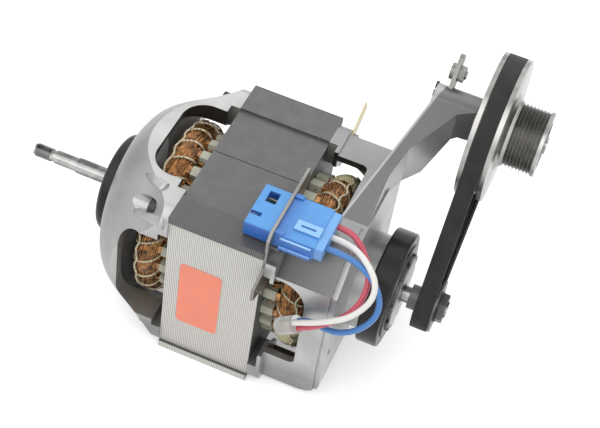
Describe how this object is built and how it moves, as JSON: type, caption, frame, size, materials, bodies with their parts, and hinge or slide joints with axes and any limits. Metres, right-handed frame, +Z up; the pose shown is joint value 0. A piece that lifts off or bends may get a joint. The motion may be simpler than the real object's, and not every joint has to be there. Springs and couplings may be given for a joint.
{
  "type": "dryer motor",
  "caption": "Open dryer motor with a fan shaft, copper end windings behind cast shields, a flat ribbed belt and a double pulley on a cast arm.",
  "frame": {"origin": "on the shaft axis, at the shoulder that the fan seats against", "axes": "+X along the motor shaft towards the belt, +Z up, -Y out of the side with the label"},
  "size_m": [0.2342, 0.1527, 0.1473],
  "materials": {
    "laminations": "stacked sheet edges, matte",
    "liner_paper": "pale greenish pressed paper",
    "plated_steel": "zinc plated",
    "copper": "varnished copper wire",
    "lacing_cord": "cream lacing cord",
    "cast_aluminium": "die cast, satin",
    "ring_rubber": "matte black",
    "bearing_steel": "ground and polished",
    "shaft_steel": "ground",
    "turned_aluminium": "turned, fine rings",
    "spacer_brass": "plain",
    "belt_rubber": "ribbed, matte",
    "blue_plastic": "moulded",
    "white_insulation": "smooth",
    "red_insulation": "smooth",
    "blue_insulation": "smooth",
    "clear_sleeve": "milky, translucent",
    "salmon_label": "bare"
  },
  "bodies": {
    "housing": {"arm_lug_plate": "plated_steel", "arm_screws": "plated_steel", "axle_circlip": "plated_steel", "axle_spacer": "spacer_brass", "bearing_sleeve": "shaft_steel", "belt_end_shield": "cast_aluminium", "belt_side_lacing": "lacing_cord", "belt_side_mount_ring": "ring_rubber", "belt_side_winding": "copper", "belt_side_winding_core": "copper", "connector_bracket": "plated_steel", "connector_housing": "blue_plastic", "connector_pins": "spacer_brass", "connector_rear_cover": "blue_plastic", "drive_belt": "belt_rubber", "earth_screw": "plated_steel", "earth_tab": "spacer_brass", "fan_end_shield": "cast_aluminium", "fan_side_lacing": "lacing_cord", "fan_side_mount_ring": "ring_rubber", "fan_side_winding": "copper", "fan_side_winding_core": "copper", "lead_blue": "blue_insulation", "lead_red": "red_insulation", "lead_sleeve": "clear_sleeve", "lead_white": "white_insulation", "lug_bolt": "plated_steel", "lug_nut": "plated_steel", "motor_bearing_ball_cages": "bearing_steel", "motor_bearing_outer_rings": "bearing_steel", "preload_washer": "plated_steel", "pulley_axle": "shaft_steel", "pulley_bearing_inner_rings": "bearing_steel", "rating_label": "salmon_label", "ring_retainer_disc": "plated_steel", "slot_liners": "liner_paper", "stator_stack": "laminations", "tie_screws": "plated_steel", "toothed_lock_ring": "plated_steel"},
    "rotor": {"motor_shaft": "shaft_steel", "rotor_core": "laminations", "rotor_cage_rings": "cast_aluminium", "motor_pinion": "shaft_steel", "pinion_washer": "plated_steel", "pinion_nut": "plated_steel", "motor_bearing_inner_rings": "bearing_steel"},
    "pulley": {"double_pulley": "turned_aluminium", "pulley_bearing_outer_rings": "bearing_steel", "pulley_bearing_ball_cages": "bearing_steel"}
  },
  "joints": [
    {"name": "rotor_spin", "type": "hinge", "parent": "housing", "child": "rotor", "pos_m": [0.0925, 0, 0], "axis": [1, 0, 0], "continuous": true},
    {"name": "pulley_spin", "type": "hinge", "parent": "housing", "child": "pulley", "pos_m": [0.1845, 0.059, 0.0656], "axis": [1, 0, 0], "continuous": true}
  ],
  "couplings": [
    {"joint": "pulley_spin", "follows": "rotor_spin", "ratio": 0.3689}
  ]
}
